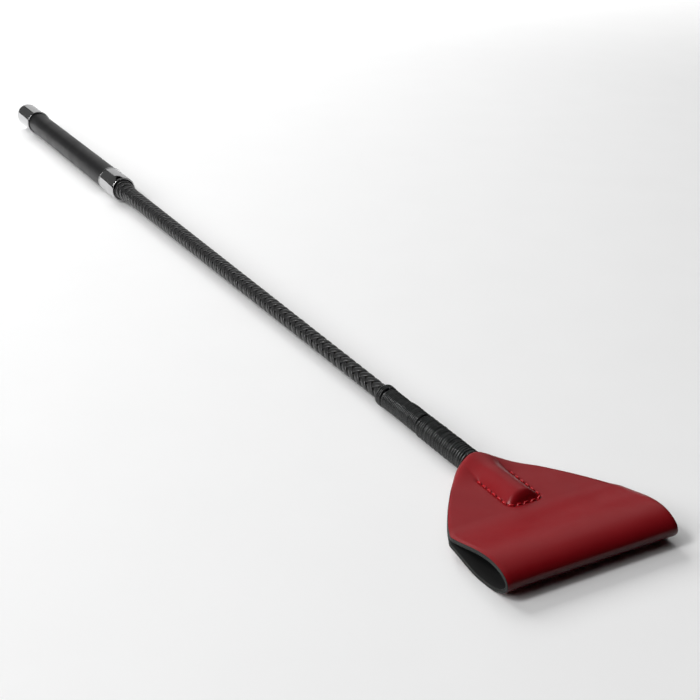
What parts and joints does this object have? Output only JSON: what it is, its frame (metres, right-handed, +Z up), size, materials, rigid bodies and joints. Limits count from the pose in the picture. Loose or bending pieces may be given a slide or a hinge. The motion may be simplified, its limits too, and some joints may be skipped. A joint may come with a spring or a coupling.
{
  "type": "riding crop",
  "caption": "Riding crop with a chromed handle, a tapered braided rod and a wide folded leather flap that flexes on the rod's tip.",
  "frame": {"origin": "centre of the footprint, on the surface that the crop lies on", "axes": "+X from the handle to the flap, +Y across the flap, +Z up; the crop's own axis slopes down 0.46 degrees towards the flap"},
  "size_m": [0.6922, 0.0748, 0.0186],
  "materials": {
    "chrome": "bright chromed sheet metal",
    "aluminium": "plain drawn tube",
    "grip_cover": "smooth black leatherette, satin",
    "black_plastic": "moulded",
    "glass_fibre": "glass fibre rod, ground taper",
    "braid": "waxed black plait",
    "black_thread": "glossy waxed whipping thread",
    "red_leather": "smooth satin red leather, painted edge",
    "red_thread": "waxed red sewing thread",
    "black_lining": "matt black lining"
  },
  "bodies": {
    "handle": {"end_cap": "chrome", "ferrule": "chrome", "grip_sleeve": "grip_cover", "handle_core": "aluminium", "rod_bush_rear": "black_plastic", "rod_bush_front": "black_plastic", "taper_filler": "black_plastic", "rod_root": "glass_fibre", "braid_root": "braid"},
    "shaft": {"rod": "glass_fibre", "braid": "braid", "rod_tip_cap": "black_plastic", "whipping_ring": "black_thread", "whipping_first": "black_thread", "whipping_second": "black_thread", "leather_neck_upper": "red_leather", "leather_neck_lower": "red_leather", "lining_neck_upper": "black_lining", "lining_neck_lower": "black_lining", "pocket_seam_upper": "red_thread", "pocket_seam_lower": "red_thread"},
    "flap": {"flap_leather": "red_leather", "flap_lining": "black_lining"}
  },
  "joints": [
    {"name": "shaft_bend", "type": "hinge", "parent": "handle", "child": "shaft", "pos_m": [-0.0571, 0, 0.00769], "axis": [0, 0, 1], "range_deg": [-10, 10], "stiffness_Nm_per_rad": 9},
    {"name": "flap_flex", "type": "hinge", "parent": "shaft", "child": "flap", "pos_m": [0.30889, 0, 0.00474], "axis": [0, -1, 0], "range_deg": [0, 25], "stiffness_Nm_per_rad": 0.15}
  ]
}
